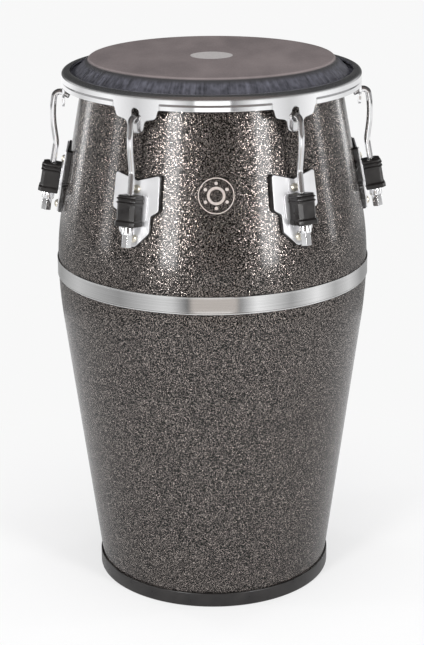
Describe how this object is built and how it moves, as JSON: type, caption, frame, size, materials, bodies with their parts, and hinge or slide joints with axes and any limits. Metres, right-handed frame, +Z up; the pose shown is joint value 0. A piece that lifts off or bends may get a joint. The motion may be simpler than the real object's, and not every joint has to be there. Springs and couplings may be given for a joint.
{
  "type": "tumba",
  "caption": "Free-standing conga-type drum: belly-shaped fibreglass shell open below, hide head under a chrome rim, hooked tuning rods in side plates, rubber foot ring.",
  "frame": {"origin": "centre of the foot ring's flat underside, on the floor", "axes": "+Z up the drum's axis to the head; +X out through lug 1; -Y is the front, between lugs 5 and 6"},
  "size_m": [0.4592, 0.4144, 0.711],
  "materials": {
    "charcoal_gel_coat": "glossy charcoal gel coat with fine silver flake over fibreglass",
    "dark_hide": "matt smoke-brown drum hide, mottled, pleated at the collar",
    "chrome": "polished chrome plate",
    "brushed_band": "satin steel strap with bright edges",
    "zinc_steel": "plain zinc-plated steel",
    "black_rubber": "matt black moulded rubber"
  },
  "bodies": {
    "drum": {"shell": "charcoal_gel_coat", "belly_band": "brushed_band", "foot_ring": "black_rubber", "side_plate_1": "chrome", "side_plate_2": "chrome", "side_plate_3": "chrome", "side_plate_4": "chrome", "side_plate_5": "chrome", "side_plate_6": "chrome", "plate_gasket_1": "black_rubber", "plate_gasket_2": "black_rubber", "plate_gasket_3": "black_rubber", "plate_gasket_4": "black_rubber", "plate_gasket_5": "black_rubber", "plate_gasket_6": "black_rubber", "lug_boot_1": "black_rubber", "lug_boot_2": "black_rubber", "lug_boot_3": "black_rubber", "lug_boot_4": "black_rubber", "lug_boot_5": "black_rubber", "lug_boot_6": "black_rubber", "nut_washer_1": "zinc_steel", "nut_washer_2": "zinc_steel", "nut_washer_3": "zinc_steel", "nut_washer_4": "zinc_steel", "nut_washer_5": "zinc_steel", "nut_washer_6": "zinc_steel", "upper_bolt_1": "chrome", "upper_bolt_2": "chrome", "upper_bolt_3": "chrome", "upper_bolt_4": "chrome", "upper_bolt_5": "chrome", "upper_bolt_6": "chrome", "lower_bolt_1": "chrome", "lower_bolt_2": "chrome", "lower_bolt_3": "chrome", "lower_bolt_4": "chrome", "lower_bolt_5": "chrome", "lower_bolt_6": "chrome", "backing_strip_1": "zinc_steel", "backing_strip_2": "zinc_steel", "backing_strip_3": "zinc_steel", "backing_strip_4": "zinc_steel", "backing_strip_5": "zinc_steel", "backing_strip_6": "zinc_steel"},
    "head": {"rim": "chrome", "flesh_hoop": "zinc_steel", "head_skin": "dark_hide"},
    "rod_1": {"tuning_rod_1": "chrome"},
    "rod_2": {"tuning_rod_2": "chrome"},
    "rod_3": {"tuning_rod_3": "chrome"},
    "rod_4": {"tuning_rod_4": "chrome"},
    "rod_5": {"tuning_rod_5": "chrome"},
    "rod_6": {"tuning_rod_6": "chrome"},
    "nut_1": {"tuning_nut_1": "chrome"},
    "nut_2": {"tuning_nut_2": "chrome"},
    "nut_3": {"tuning_nut_3": "chrome"},
    "nut_4": {"tuning_nut_4": "chrome"},
    "nut_5": {"tuning_nut_5": "chrome"},
    "nut_6": {"tuning_nut_6": "chrome"}
  },
  "joints": [
    {"name": "nut_1_turn", "type": "hinge", "parent": "drum", "child": "nut_1", "pos_m": [0.21075, 0, 0.56262], "axis": [0.1822, 0, -0.9833], "range_deg": [0, 3525.12]},
    {"name": "nut_2_turn", "type": "hinge", "parent": "drum", "child": "nut_2", "pos_m": [0.10537, 0.18251, 0.56262], "axis": [0.0911, 0.1578, -0.9833], "range_deg": [0, 3525.12]},
    {"name": "nut_3_turn", "type": "hinge", "parent": "drum", "child": "nut_3", "pos_m": [-0.10537, 0.18251, 0.56262], "axis": [-0.0911, 0.1578, -0.9833], "range_deg": [0, 3525.12]},
    {"name": "nut_4_turn", "type": "hinge", "parent": "drum", "child": "nut_4", "pos_m": [-0.21075, 0, 0.56262], "axis": [-0.1822, 0, -0.9833], "range_deg": [0, 3525.12]},
    {"name": "nut_5_turn", "type": "hinge", "parent": "drum", "child": "nut_5", "pos_m": [-0.10537, -0.18251, 0.56262], "axis": [-0.0911, -0.1578, -0.9833], "range_deg": [0, 3525.12]},
    {"name": "nut_6_turn", "type": "hinge", "parent": "drum", "child": "nut_6", "pos_m": [0.10537, -0.18251, 0.56262], "axis": [0.0911, -0.1578, -0.9833], "range_deg": [0, 3525.12]},
    {"name": "head_lift", "type": "slide", "parent": "drum", "child": "head", "axis": [0, 0, 1], "range_m": [0, 0.012]},
    {"name": "rod_1_slide", "type": "slide", "parent": "drum", "child": "rod_1", "axis": [-0.1822, 0, 0.9833], "range_m": [0, 0.01245]},
    {"name": "rod_2_slide", "type": "slide", "parent": "drum", "child": "rod_2", "axis": [-0.0911, -0.1578, 0.9833], "range_m": [0, 0.01245]},
    {"name": "rod_3_slide", "type": "slide", "parent": "drum", "child": "rod_3", "axis": [0.0911, -0.1578, 0.9833], "range_m": [0, 0.01245]},
    {"name": "rod_4_slide", "type": "slide", "parent": "drum", "child": "rod_4", "axis": [0.1822, 0, 0.9833], "range_m": [0, 0.01245]},
    {"name": "rod_5_slide", "type": "slide", "parent": "drum", "child": "rod_5", "axis": [0.0911, 0.1578, 0.9833], "range_m": [0, 0.01245]},
    {"name": "rod_6_slide", "type": "slide", "parent": "drum", "child": "rod_6", "axis": [-0.0911, 0.1578, 0.9833], "range_m": [0, 0.01245]}
  ],
  "couplings": [
    {"joint": "nut_1_turn", "follows": "head_lift", "rad_per_m": 5026.5},
    {"joint": "nut_2_turn", "follows": "head_lift", "rad_per_m": 5026.5},
    {"joint": "nut_3_turn", "follows": "head_lift", "rad_per_m": 5026.5},
    {"joint": "nut_4_turn", "follows": "head_lift", "rad_per_m": 5026.5},
    {"joint": "nut_5_turn", "follows": "head_lift", "rad_per_m": 5026.5},
    {"joint": "nut_6_turn", "follows": "head_lift", "rad_per_m": 5026.5},
    {"joint": "rod_1_slide", "follows": "head_lift", "ratio": 1.017},
    {"joint": "rod_2_slide", "follows": "head_lift", "ratio": 1.017},
    {"joint": "rod_3_slide", "follows": "head_lift", "ratio": 1.017},
    {"joint": "rod_4_slide", "follows": "head_lift", "ratio": 1.017},
    {"joint": "rod_5_slide", "follows": "head_lift", "ratio": 1.017},
    {"joint": "rod_6_slide", "follows": "head_lift", "ratio": 1.017}
  ]
}
